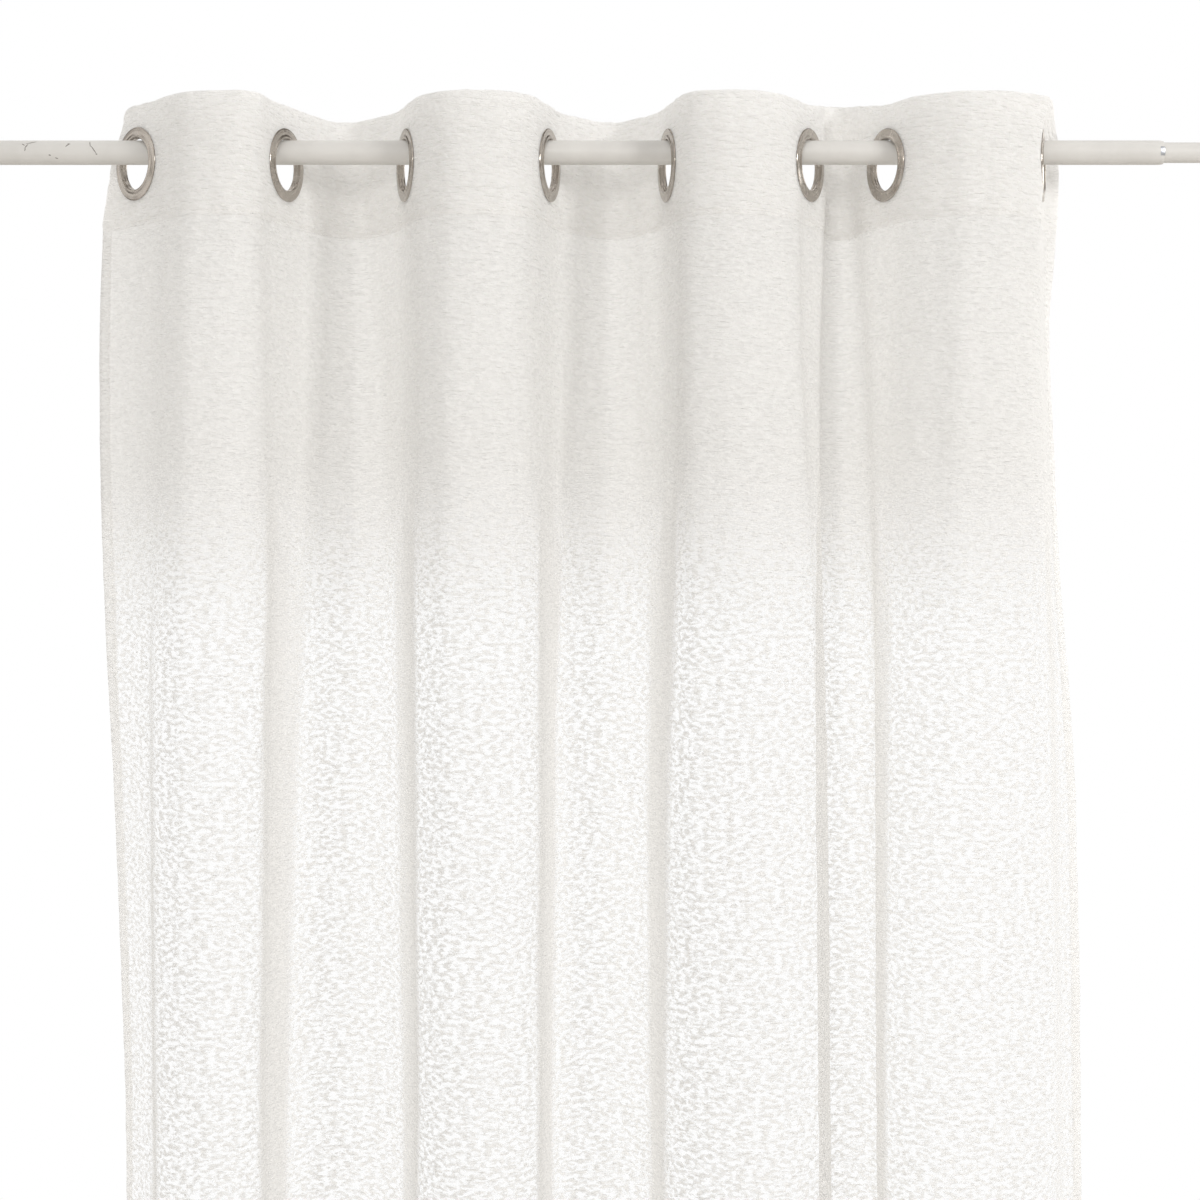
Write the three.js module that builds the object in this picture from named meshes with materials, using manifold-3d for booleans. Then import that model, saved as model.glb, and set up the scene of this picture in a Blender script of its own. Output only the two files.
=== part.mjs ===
// An eyelet curtain hanging in eight passes over a thin extending rod.
// Millimetres, +Z up, +X to the viewer's right, -Y toward the viewer.
// The origin is on the rod's axis at the middle of the curtain.
import * as THREE from 'three';
import Module from 'manifold-3d';

// cloth
const EYELET_PITCH = 186;        // along the flat cloth
const SIDE_MARGIN = 49;          // outer eyelet centre to the cloth's side edge
const TOP_Z = 38;                // top edge above the rod's axis
const HEADING_HEIGHT = 95;
const HEADING_THICK = 2.0;
const CLOTH_THICK = 1.4;
const HEM_THICK = 2.2;
const SIDE_HEM = 11;
const BOTTOM_HEM = 80;
const BOTTOM_Z = -2362;
const SEAM_GAP = 0.3;
const HEM_STEP = 1.5;            // width over which a hem thins to the single cloth
const RETURN_RADIUS = 22;        // small bend between the flat at an eyelet and the fold's round
const LEFT_DROOP = 14;           // how far the top corners hang below the top edge
const RIGHT_DROOP = 20;
const DROOP_START = 12;          // from the outer eyelets' centres
const NARROW_FOLD = 80;          // a fold narrower than this at the rod turns right back on itself
const ROUND_STEPS = 5;           // mesh steps in each round quarter of a fold
const NARROW_STEPS = 6;
const BEND_STEPS = 1;            // and in each small bend
const NARROW_BEND_STEPS = 3;

// eyelets
const EYELET_INNER_R = 20;
const EYELET_OUTER_R = 28.75;
const EYELET_HALF = 3.1;         // half of its thickness over the raised inner lip
const COLLAR_R = 21.3;
const HOLE_R = 21.8;
const SLOT_HALF = HEADING_THICK / 2 + 0.3;
const EYELET_SIDES = 24;

// rod
const ROD_LEFT = -600;
const ROD_RIGHT = 600;
const OUTER_TUBE_R = 9.5;
const INNER_TUBE_R = 8.0;
const OUTER_TUBE_END = 443;
const END_TAPER = 4;             // the outer tube is drawn in over this length at its mouth
const MOUTH_R = 8.9;
const SOCKET_DEPTH = 150;
const SOCKET_CLEAR = 0.3;
const ROD_SIDES = 36;
const SEAT_CLEAR = 0.3;

const rad = THREE.MathUtils.degToRad;
const mix = THREE.MathUtils.lerp;

// Where the cloth passes the rod, left to right: place and steepness at the rod and low down.
const PASSES = [
  { rodX: -364, lowX: -356, rodSlope: 49, lowSlope: 62 },
  { rodX: -248, lowX: -256, rodSlope: 70, lowSlope: 80 },
  { rodX: -152, lowX: -149, rodSlope: 73, lowSlope: 76 },
  { rodX: -41, lowX: -43, rodSlope: 75, lowSlope: 82 },
  { rodX: 54, lowX: 48, rodSlope: 78, lowSlope: 74 },
  { rodX: 164, lowX: 181, rodSlope: 64, lowSlope: 78 },
  { rodX: 226, lowX: 221, rodSlope: 66, lowSlope: 80 },
  { rodX: 347, lowX: 362, rodSlope: 78, lowSlope: 70 },
];

// Degrees by which each fold's left wall is steeper, and its right wall flatter, at the top.
const FOLD_LEAN = [-5, 11, 0, 0, 0, 7, 0];

// How the folds change down the drop. drift: share of the way from the rod's places to the
// low ones; flat: straight half length at each pass; pinch: straight share of a back fold's
// walls, which meet in a tighter round the larger it is; lean: share of each fold's own lean;
// leftEnd, rightEnd: angle of the side edges.
const LEVELS = [
  { z: 38, drift: 0, flat: 30, pinch: 0.72, lean: 1, leftEnd: 110, rightEnd: 62 },
  { z: -10, drift: 0, flat: 30, pinch: 0.7, lean: 0.6, leftEnd: 79, rightEnd: -10 },
  { z: -57, drift: 0, flat: 30, pinch: 0.66, lean: 0.2, leftEnd: 34, rightEnd: 10 },
  { z: -135, drift: 0.02, flat: 23, pinch: 0.58, lean: 0, leftEnd: 22, rightEnd: 59 },
  { z: -285, drift: 0.28, flat: 16, pinch: 0.42, lean: 0, leftEnd: 21, rightEnd: 58 },
  { z: -510, drift: 0.75, flat: 12, pinch: 0.28, lean: 0, leftEnd: 38, rightEnd: 42 },
  { z: -825, drift: 1, flat: 12, pinch: 0.2, lean: 0, leftEnd: 51, rightEnd: 44 },
  { z: -1500, drift: 1.05, flat: 11, pinch: 0.18, lean: 0, leftEnd: 48, rightEnd: 44 },
  { z: -2362, drift: 1.12, flat: 10, pinch: 0.15, lean: 0, leftEnd: 42, rightEnd: 40 },
];

// Mesh rows of the panel, as drops below its top edge.
const PANEL_ROWS = [0, 60, 130, 210, 300, 400, 520, 660, 820, 1000, 1200, 1420, 1660, 1900, 2100];

function levelAt(z) {
  const k = Math.min(Math.max(LEVELS.findIndex((row) => row.z <= z), 1), LEVELS.length - 1);
  const [upper, lower] = [LEVELS[k - 1], LEVELS[k]];
  const share = (upper.z - z) / (upper.z - lower.z);
  const level = {};
  for (const name of Object.keys(upper)) level[name] = mix(upper[name], lower[name], share);
  return level;
}

function passAt(index, drift) {
  const row = PASSES[index];
  return { x: mix(row.rodX, row.lowX, drift), slope: rad(mix(row.rodSlope, row.lowSlope, drift)) };
}

// One piece of a plan curve: its length and the tangent's angle at both ends.
const piece = (length, from, to, steps) => ({ length, from, to, steps });

function walk(pieces) {
  const points = [{ x: 0, y: 0, angle: pieces[0].from, s: 0 }];
  for (const { length, from, to, steps } of pieces) {
    const start = points[points.length - 1];
    for (let n = 1; n <= steps; n++) {
      const angle = mix(from, to, n / steps);
      const run = (length * n) / steps;
      const turn = angle - from;
      const straight = Math.abs(turn) < 1e-9;
      const radius = straight ? 0 : run / turn;
      const dx = straight ? run * Math.cos(from) : radius * (Math.sin(angle) - Math.sin(from));
      const dy = straight ? run * Math.sin(from) : radius * (Math.cos(from) - Math.cos(angle));
      points.push({ x: start.x + dx, y: start.y + dy, angle, s: start.s + run });
    }
  }
  return points;
}

// A fold between two passes: flat, small bend, wall, two rounds, wall, small bend, flat. The bends
// take up whatever brings the cloth's length between two eyelets to the fold's width.
function foldPieces(width, slopeA, slopeB, flat, pinch, lean, roundSteps, bendSteps) {
  const shape = (extra) => {
    const sides = [[slopeA, extra + lean], [slopeB, extra - lean]].map(([slope, turn]) => {
      const round = slope + turn;
      const way = Math.sign(turn) || 1;
      return {
        slope, round,
        bend: RETURN_RADIUS * Math.abs(turn),
        x: flat * Math.cos(slope) + way * RETURN_RADIUS * (Math.sin(round) - Math.sin(slope)),
        y: flat * Math.sin(slope) + way * RETURN_RADIUS * (Math.cos(slope) - Math.cos(round)),
        across: pinch * Math.cos(round) + ((1 - pinch) * Math.sin(round)) / round,
        deep: pinch * Math.sin(round) + ((1 - pinch) * (1 - Math.cos(round))) / round,
      };
    });
    const [a, b] = sides;
    const rest = EYELET_PITCH - 2 * flat - a.bend - b.bend;
    a.rest = (rest * b.deep + b.y - a.y) / (a.deep + b.deep);
    b.rest = rest - a.rest;
    return { a, b, width: a.x + b.x + a.rest * a.across + b.rest * b.across };
  };
  let [low, high] = [-0.5, 1.2];
  for (let n = 0; n < 50; n++) {
    const middle = (low + high) / 2;
    if (shape(middle).width > width) low = middle;
    else high = middle;
  }
  const { a, b } = shape((low + high) / 2);
  const wallSteps = pinch > 0 ? 1 : 0;
  return [
    piece(flat, a.slope, a.slope, 1),
    piece(a.bend, a.slope, a.round, bendSteps),
    piece(pinch * a.rest, a.round, a.round, wallSteps),
    piece((1 - pinch) * a.rest, a.round, 0, roundSteps),
    piece((1 - pinch) * b.rest, 0, -b.round, roundSteps),
    piece(pinch * b.rest, -b.round, -b.round, wallSteps),
    piece(b.bend, -b.round, -b.slope, bendSteps),
    piece(flat, -b.slope, -b.slope, 1),
  ];
}

// The cloth from an outer pass to its side edge, with points at the hem's step.
function marginPieces(slope, flat, endDegrees) {
  const end = rad(endDegrees);
  const free = SIDE_MARGIN - flat;
  const angleAt = (run) => mix(slope, end, run / free);
  const stops = [0, (free - SIDE_HEM - HEM_STEP) / 2, free - SIDE_HEM - HEM_STEP, free - SIDE_HEM, free];
  const pieces = [piece(flat, slope, slope, 1)];
  for (let n = 1; n < stops.length; n++) {
    pieces.push(piece(stops[n] - stops[n - 1], angleAt(stops[n - 1]), angleAt(stops[n]), 1));
  }
  return pieces;
}

// Plan curve of the whole cloth at one height: points with the front-facing normal, whether the
// point is in a side hem, and how far it droops if it is on the top edge.
function section(z) {
  const level = levelAt(z);
  const passes = PASSES.map((row, index) => passAt(index, level.drift));
  const line = [];
  const hemStart = SIDE_MARGIN - SIDE_HEM - 0.01;
  const put = (x, y, angle, hem, droop) => {
    line.push({ x, y, nx: Math.sin(angle), ny: -Math.cos(angle), hem, droop });
  };
  const droopAt = (s, most) => most * Math.max((s - DROOP_START) / (SIDE_MARGIN - DROOP_START), 0) ** 1.3;

  const left = walk(marginPieces(passes[0].slope, level.flat, level.leftEnd));
  for (const p of left.reverse()) {
    put(passes[0].x - p.x, p.y, -p.angle, p.s > hemStart, droopAt(p.s, LEFT_DROOP));
  }

  for (let n = 0; n + 1 < passes.length; n++) {
    const side = n % 2 ? 1 : -1;
    const [from, to] = [passes[n], passes[n + 1]];
    const narrow = PASSES[n + 1].rodX - PASSES[n].rodX < NARROW_FOLD;
    const steps = narrow ? [NARROW_STEPS, NARROW_BEND_STEPS] : [ROUND_STEPS, BEND_STEPS];
    const pinch = n % 2 ? level.pinch : 0;
    const lean = rad(FOLD_LEAN[n] * level.lean);
    const fold = walk(foldPieces(to.x - from.x, from.slope, to.slope, level.flat, pinch, lean, ...steps));
    for (const p of fold.slice(1)) put(from.x + p.x, side * p.y, side * p.angle, false, 0);
  }

  const last = passes[passes.length - 1];
  const right = walk(marginPieces(last.slope, level.flat, level.rightEnd));
  for (const p of right.slice(1)) {
    put(last.x + p.x, p.y, p.angle, p.s > hemStart, droopAt(p.s, RIGHT_DROOP));
  }
  return line;
}

// Closed sheet through rows of sections, with its thickness set point by point.
function sheetGeometry(heights, thickAt) {
  const rows = heights.map((z) => section(z));
  const columns = rows[0].length;
  const count = rows.length * columns;
  const positions = [];
  for (const face of [1, -1]) {
    rows.forEach((row, j) => row.forEach((p) => {
      const off = (face * thickAt(heights[j], p.hem)) / 2;
      const droop = heights[j] === TOP_Z ? p.droop : 0;
      positions.push(p.x + p.nx * off, p.y + p.ny * off, heights[j] - droop);
    }));
  }
  const front = (i, j) => j * columns + i;
  const back = (i, j) => count + j * columns + i;
  const index = [];
  const quad = (a, b, c, d) => index.push(a, b, c, a, c, d);
  for (let j = 0; j + 1 < rows.length; j++) {
    for (let i = 0; i + 1 < columns; i++) {
      quad(front(i, j), front(i, j + 1), front(i + 1, j + 1), front(i + 1, j));
      quad(back(i, j), back(i + 1, j), back(i + 1, j + 1), back(i, j + 1));
    }
    const end = columns - 1;
    quad(front(0, j + 1), front(0, j), back(0, j), back(0, j + 1));
    quad(front(end, j), front(end, j + 1), back(end, j + 1), back(end, j));
  }
  const bottom = rows.length - 1;
  for (let i = 0; i + 1 < columns; i++) {
    quad(front(i, 0), front(i + 1, 0), back(i + 1, 0), back(i, 0));
    quad(front(i + 1, bottom), front(i, bottom), back(i, bottom), back(i + 1, bottom));
  }
  const geometry = new THREE.BufferGeometry();
  geometry.setAttribute('position', new THREE.Float32BufferAttribute(positions, 3));
  geometry.setIndex(index);
  return geometry;
}

// Height of an eyelet's centre when it hangs on the rod's top, turned by the slope of its pass.
function eyeletHeight(slope) {
  let height = -Infinity;
  for (let n = -60; n <= 60; n++) {
    const z = (OUTER_TUBE_R * n) / 60;
    const rodHalf = Math.sqrt(Math.max(OUTER_TUBE_R ** 2 - z ** 2, 0));
    const chord = rodHalf / Math.sin(slope) + EYELET_HALF / Math.tan(slope);
    const inner = EYELET_INNER_R * Math.cos(Math.PI / EYELET_SIDES) - SEAT_CLEAR;
    height = Math.max(height, z - Math.sqrt(inner ** 2 - chord ** 2));
  }
  return height;
}

// Turns a shape made round the Y axis so that axis lies along the cloth's normal at a pass.
function placeAtPass(geometry, index) {
  const { x, slope } = passAt(index, 0);
  const travel = index % 2 ? slope : -slope;
  return geometry.rotateZ(travel).translate(x, 0, eyeletHeight(slope));
}

function eyeletGeometry() {
  const half = [
    [EYELET_OUTER_R, SLOT_HALF],
    [EYELET_OUTER_R - 0.4, SLOT_HALF + 0.8],
    [EYELET_INNER_R + 3, EYELET_HALF],
    [EYELET_INNER_R + 0.7, EYELET_HALF - 0.2],
    [EYELET_INNER_R, EYELET_HALF - 1.4],
  ];
  const mirrored = half.map(([r, y]) => [r, -y]).reverse();
  const ring = [[COLLAR_R, SLOT_HALF], ...half, ...mirrored, [COLLAR_R, -SLOT_HALF], [COLLAR_R, SLOT_HALF]];
  const profile = ring.map(([r, y]) => new THREE.Vector2(r, y));
  return new THREE.LatheGeometry(profile, EYELET_SIDES);
}

// A shape turned about the rod's axis from [place along X, radius] pairs.
function turnedOnRod(pairs) {
  const profile = pairs.map(([x, r]) => new THREE.Vector2(r, x));
  return new THREE.LatheGeometry(profile, ROD_SIDES).rotateZ(-Math.PI / 2);
}

const outerTube = () => turnedOnRod([
  [ROD_LEFT, 0],
  [ROD_LEFT, OUTER_TUBE_R],
  [OUTER_TUBE_END - END_TAPER, OUTER_TUBE_R],
  [OUTER_TUBE_END, MOUTH_R],
  [OUTER_TUBE_END, INNER_TUBE_R + SOCKET_CLEAR],
  [OUTER_TUBE_END - SOCKET_DEPTH, INNER_TUBE_R + SOCKET_CLEAR],
  [OUTER_TUBE_END - SOCKET_DEPTH, 0],
]);

const innerTube = () => turnedOnRod([
  [OUTER_TUBE_END - SOCKET_DEPTH + SOCKET_CLEAR, 0],
  [OUTER_TUBE_END - SOCKET_DEPTH + SOCKET_CLEAR, INNER_TUBE_R],
  [ROD_RIGHT, INNER_TUBE_R],
  [ROD_RIGHT, 0],
]);

const wasm = await Module();
wasm.setup();

function toManifold(geometry) {
  return new wasm.Manifold(new wasm.Mesh({
    numProp: 3,
    vertProperties: new Float32Array(geometry.getAttribute('position').array),
    triVerts: new Uint32Array(geometry.getIndex().array),
  }));
}

function fromManifold(solid) {
  const mesh = solid.getMesh();
  const geometry = new THREE.BufferGeometry();
  geometry.setAttribute('position', new THREE.Float32BufferAttribute(mesh.vertProperties, 3));
  geometry.setIndex(Array.from(mesh.triVerts));
  return geometry;
}

// Round cutter for one eyelet hole, in the place of that eyelet.
function holeCutter(index) {
  const { x, slope } = passAt(index, 0);
  const travel = index % 2 ? slope : -slope;
  return wasm.Manifold.cylinder(8, HOLE_R, HOLE_R, EYELET_SIDES, true)
    .rotate([90, 0, 0])
    .rotate([0, 0, THREE.MathUtils.radToDeg(travel)])
    .translate([x, 0, eyeletHeight(slope)]);
}

function headingGeometry() {
  const heights = [TOP_Z, -10, TOP_Z - HEADING_HEIGHT];
  let solid = toManifold(sheetGeometry(heights, () => HEADING_THICK));
  PASSES.forEach((row, index) => { solid = solid.subtract(holeCutter(index)); });
  return fromManifold(solid);
}

function panelGeometry() {
  const top = TOP_Z - HEADING_HEIGHT - SEAM_GAP;
  const hemTop = BOTTOM_Z + BOTTOM_HEM;
  const heights = [...PANEL_ROWS.map((drop) => top - drop), hemTop + HEM_STEP, hemTop, BOTTOM_Z];
  const inHem = (z, sideHem) => sideHem || z <= hemTop;
  return sheetGeometry(heights, (z, sideHem) => (inHem(z, sideHem) ? HEM_THICK : CLOTH_THICK));
}

const CLOTH = { color: 0xe9e6e0, roughness: 0.9, metalness: 0, side: THREE.DoubleSide };
const NICKEL = { color: 0xbfb8ae, roughness: 0.28, metalness: 1 };
const WHITE_PAINT = { color: 0xe4e1da, roughness: 0.42, metalness: 0 };

const curtain = new THREE.Group();
function addNode(name, geometry, material) {
  const mesh = new THREE.Mesh(geometry, new THREE.MeshStandardMaterial(material));
  mesh.name = name;
  curtain.add(mesh);
}

addNode('heading', headingGeometry(), CLOTH);
addNode('panel', panelGeometry(), CLOTH);
PASSES.forEach((row, index) => {
  addNode(`eyelet_${index + 1}`, placeAtPass(eyeletGeometry(), index), NICKEL);
});
addNode('rod_outer_tube', outerTube(), WHITE_PAINT);
addNode('rod_inner_tube', innerTube(), WHITE_PAINT);

export default curtain;
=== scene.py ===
import math

import bpy
import numpy as np
from mathutils import Matrix, Vector


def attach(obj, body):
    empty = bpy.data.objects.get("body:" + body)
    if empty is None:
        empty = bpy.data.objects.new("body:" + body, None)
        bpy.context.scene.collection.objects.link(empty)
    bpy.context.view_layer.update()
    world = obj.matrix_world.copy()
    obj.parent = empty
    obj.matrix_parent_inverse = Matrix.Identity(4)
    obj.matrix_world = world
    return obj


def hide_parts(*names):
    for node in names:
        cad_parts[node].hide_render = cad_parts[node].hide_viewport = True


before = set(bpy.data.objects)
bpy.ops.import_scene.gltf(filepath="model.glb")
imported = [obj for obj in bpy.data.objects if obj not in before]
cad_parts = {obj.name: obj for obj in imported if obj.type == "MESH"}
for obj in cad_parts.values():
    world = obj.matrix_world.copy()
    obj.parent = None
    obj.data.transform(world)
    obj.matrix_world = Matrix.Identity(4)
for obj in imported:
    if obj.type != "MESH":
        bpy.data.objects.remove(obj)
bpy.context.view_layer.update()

MM = 0.001
BODY = "root"

# cloth, in millimetres as it was cut
EYELET_PITCH = 186.0
SIDE_MARGIN = 49.0
CLOTH_WIDTH = 2 * SIDE_MARGIN + 7 * EYELET_PITCH
TOP_Z = 38.0
HEADING_HEIGHT = 95.0
HEADING_THICK = 2.0
SEAM_Z = TOP_Z - HEADING_HEIGHT
SEAM_GAP = 0.3              # the panel starts this far below the heading
SIDE_HEM = 11.0
BOTTOM_HEM = 80.0
BOTTOM_Z = -2362.0
STITCH_UP = 3.0             # the heading's stitch line above its lower edge
HEM_BACK = 1.1              # how far behind the cloth its turned-in hem lies
HEM_BACK_AT_TURN = HEM_BACK * 0.55  # and at the turn itself
HEM_TURN = 0.5              # cloth that the turn takes up
RETURN_RADIUS = 22.0
# the top corners hang below the top edge: how far, and how far out from the eyelet it starts
LEFT_DROOP = dict(most=14.0, start=12.0)
RIGHT_DROOP = dict(most=22.0, start=5.0)
# above the first eyelet the left margin turns in sooner: by how much, from where, over what
LEFT_TURN = dict(sooner=20.0, above=2.0, over=30.0)
# the top of the right end leans out: how far, and where it starts up and along the cloth
RIGHT_LEAN = dict(most=9.0, above=12.0, over=26.0, from_u=1290.0, over_u=45.0)
NARROW_FOLD = 5             # the narrow back fold comes after this eyelet, counted from 0
NARROW_RISE = 0.17          # and its top edge rises this much for each millimetre behind the rod
SOFTEN = 6.0                # the cloth evens out bends shorter than this
SWAY = dict(x=1.6, turn=2.5, settle=400.0)  # restlessness of the folds lower down

# eyelets and rod
EYELET_INNER_R = 20.0
EYELET_OUTER_R = 28.75
EYELET_HALF = 3.1
HOLE_R = 23.0
ROD_LEFT = -600.0
ROD_RIGHT = 600.0
OUTER_TUBE_R = 9.5
INNER_TUBE_R = 8.0
OUTER_TUBE_END = 443.0
END_TAPER = 4.0
MOUTH_R = 8.9
SOCKET_DEPTH = 60.0
SEAT_CLEAR = 0.3
CAD_EYELET_SIDES = 24
TUBE_EDGE = 0.6             # rounding of the rod's plain ends

# where the cloth passes the rod: place and slope at the rod, and low down
PASSES = (
    dict(rod_x=-364, low_x=-356, rod_slope=49, low_slope=62),
    dict(rod_x=-248, low_x=-256, rod_slope=70, low_slope=80),
    dict(rod_x=-152, low_x=-149, rod_slope=73, low_slope=76),
    dict(rod_x=-41, low_x=-43, rod_slope=75, low_slope=82),
    dict(rod_x=54, low_x=48, rod_slope=78, low_slope=74),
    dict(rod_x=164, low_x=181, rod_slope=64, low_slope=78),
    dict(rod_x=226, low_x=221, rod_slope=66, low_slope=80),
    dict(rod_x=347, low_x=362, rod_slope=78, low_slope=70),
)

# degrees by which each fold's left wall is steeper, and its right wall flatter, at the top
FOLD_LEAN = (-5, 11, 0, 0, 0, 7, 0)

# how the folds change down the drop; pinch is the straight share of a back fold's walls
LEVELS = (
    dict(z=38, drift=0.0, flat=30, pinch=0.72, lean=1.0, left_end=110, right_end=62),
    dict(z=-10, drift=0.0, flat=30, pinch=0.70, lean=0.6, left_end=79, right_end=-10),
    dict(z=-57, drift=0.0, flat=30, pinch=0.66, lean=0.2, left_end=34, right_end=10),
    dict(z=-135, drift=0.02, flat=23, pinch=0.58, lean=0.0, left_end=22, right_end=59),
    dict(z=-285, drift=0.28, flat=16, pinch=0.42, lean=0.0, left_end=21, right_end=58),
    dict(z=-510, drift=0.75, flat=12, pinch=0.28, lean=0.0, left_end=38, right_end=42),
    dict(z=-825, drift=1.0, flat=12, pinch=0.20, lean=0.0, left_end=51, right_end=44),
    dict(z=-1500, drift=1.05, flat=11, pinch=0.18, lean=0.0, left_end=48, right_end=44),
    dict(z=-2362, drift=1.12, flat=10, pinch=0.15, lean=0.0, left_end=42, right_end=40),
)

# soft troughs (depth below 0) and ridges in the hanging cloth, each from one point of the
# flat cloth to another: the deep folds' valleys and the right end first, then each hump from
# left to right, then the long slack ones low down
CREASES = (
    dict(u0=330, z0=70, u1=327, z1=-600, width=9, depth=-4.5),
    dict(u0=701, z0=70, u1=698, z1=-640, width=9, depth=-4.5),
    dict(u0=1073, z0=30, u1=1070, z1=-560, width=8, depth=-3.5),
    dict(u0=1313, z0=70, u1=1311, z1=-110, width=13, depth=3.4),
    dict(u0=127, z0=90, u1=122, z1=-640, width=12, depth=2.8),
    dict(u0=92, z0=-70, u1=78, z1=-380, width=13, depth=-1.4),
    dict(u0=196, z0=-66, u1=206, z1=-330, width=11, depth=-1.2),
    dict(u0=262, z0=-70, u1=268, z1=-520, width=14, depth=1.5),
    dict(u0=345, z0=-64, u1=352, z1=-420, width=12, depth=-1.3),
    dict(u0=497, z0=90, u1=492, z1=-700, width=12, depth=2.6),
    dict(u0=452, z0=-70, u1=444, z1=-360, width=11, depth=-1.2),
    dict(u0=572, z0=-66, u1=580, z1=-300, width=12, depth=-1.3),
    dict(u0=662, z0=-70, u1=656, z1=-540, width=15, depth=-1.5),
    dict(u0=850, z0=90, u1=842, z1=-600, width=11, depth=2.6),
    dict(u0=822, z0=-68, u1=806, z1=-300, width=11, depth=-1.1),
    dict(u0=941, z0=30, u1=950, z1=-460, width=17, depth=6.0),
    dict(u0=1050, z0=-64, u1=1058, z1=-600, width=12, depth=1.3),
    dict(u0=1248, z0=90, u1=1238, z1=-560, width=12, depth=2.6),
    dict(u0=1262, z0=-80, u1=1236, z1=-700, width=20, depth=-2.0),
    dict(u0=1300, z0=-420, u1=1258, z1=-900, width=24, depth=-2.2),
    dict(u0=120, z0=-700, u1=136, z1=-1500, width=22, depth=-2.2),
    dict(u0=500, z0=-900, u1=488, z1=-1800, width=24, depth=2.2),
    dict(u0=860, z0=-820, u1=874, z1=-1700, width=24, depth=-2.4),
    dict(u0=1240, z0=-1000, u1=1262, z1=-2100, width=26, depth=2.4),
)

# soft unevenness of the panel: height near the top, more lower down, and a bump's size
PANEL_BUMPS = (
    dict(height=0.4, more_low=1.8, wide=92, tall=330, seed=11),
    dict(height=0.35, more_low=0.55, wide=31, tall=96, seed=12),
    dict(height=0.45, more_low=0.0, wide=16, tall=10, seed=13),
)
HEM_SAG = 1.8               # how unevenly the bottom edge hangs

# how closed the weave looks: near the top, on walls seen edge on, and in a hem
DENSE_TOP = dict(cover=0.97, below=-400.0, over=170.0)
FLANK = dict(cover=0.93, slope=62.0, over=15.0)
HEM_COVER = 0.5

# mesh rows and columns
PANEL_COLUMNS = 306
HEM_ROWS = 9
ROWS = dict(step=4.6, wider_below=-880.0, growth=1.06, most=17.0)
HEADING_COLUMNS = 425
HEADING_ROWS = 36

# heading
STITCH_DIP = dict(deep=0.14, half=1.6)
EDGE_WAVE = dict(most=0.55, above=24.0, over=14.0)      # unevenness of the top edge
CALM_RING = dict(reach=40.0, over=9.0)                  # the cloth lies calm round an eyelet
DROOP_FROM_Z = -5.0         # the droop of the top corners fades out down to here
HEADING_RIPPLES = (
    dict(height=0.44, wide=17, tall=6, seed=21),
    dict(height=0.35, wide=44, tall=16, seed=22),
)
SEAM_PITCH = 3.9
HEM_PITCH = 4.4


def ease(t):
    """Smooth step from 0 to 1."""
    t = np.clip(t, 0, 1)
    return t * t * (3 - 2 * t)


def glide(rows, name, z):
    """Smooth curve through one column of a table with a falling z, with no overshoot."""
    at = np.array([-row["z"] for row in rows], float)
    value = np.array([row[name] for row in rows], float)
    step = np.diff(at)
    rate = np.diff(value) / step
    tangent = np.zeros(len(at))
    for k in range(1, len(at) - 1):
        if rate[k - 1] * rate[k] > 0:
            tangent[k] = 2 / (1 / rate[k - 1] + 1 / rate[k])
    tangent[-1] = rate[-1]
    k = int(np.clip(np.searchsorted(at, -z) - 1, 0, len(step) - 1))
    t = (-z - at[k]) / step[k]
    return float(
        (2 * t**3 - 3 * t**2 + 1) * value[k]
        + (t**3 - 2 * t**2 + t) * step[k] * tangent[k]
        + (3 * t**2 - 2 * t**3) * value[k + 1]
        + (t**3 - t**2) * step[k] * tangent[k + 1]
    )


def pass_at(index, z):
    """Place and slope of one pass of the cloth at a height, a little restless lower down."""
    row = PASSES[index]
    drift = glide(LEVELS, "drift", z)
    restless = 1 - math.exp(min(z - SEAM_Z, 0) / SWAY["settle"])
    sway = restless * math.sin(z / (170 + 21 * index) + 2.1 * index)
    x = row["rod_x"] + (row["low_x"] - row["rod_x"]) * drift + SWAY["x"] * sway
    slope = row["rod_slope"] + (row["low_slope"] - row["rod_slope"]) * drift
    lean = restless * math.sin(z / (240 - 13 * index) + 1.3 * index)
    return x, math.radians(slope + SWAY["turn"] * lean)


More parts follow.
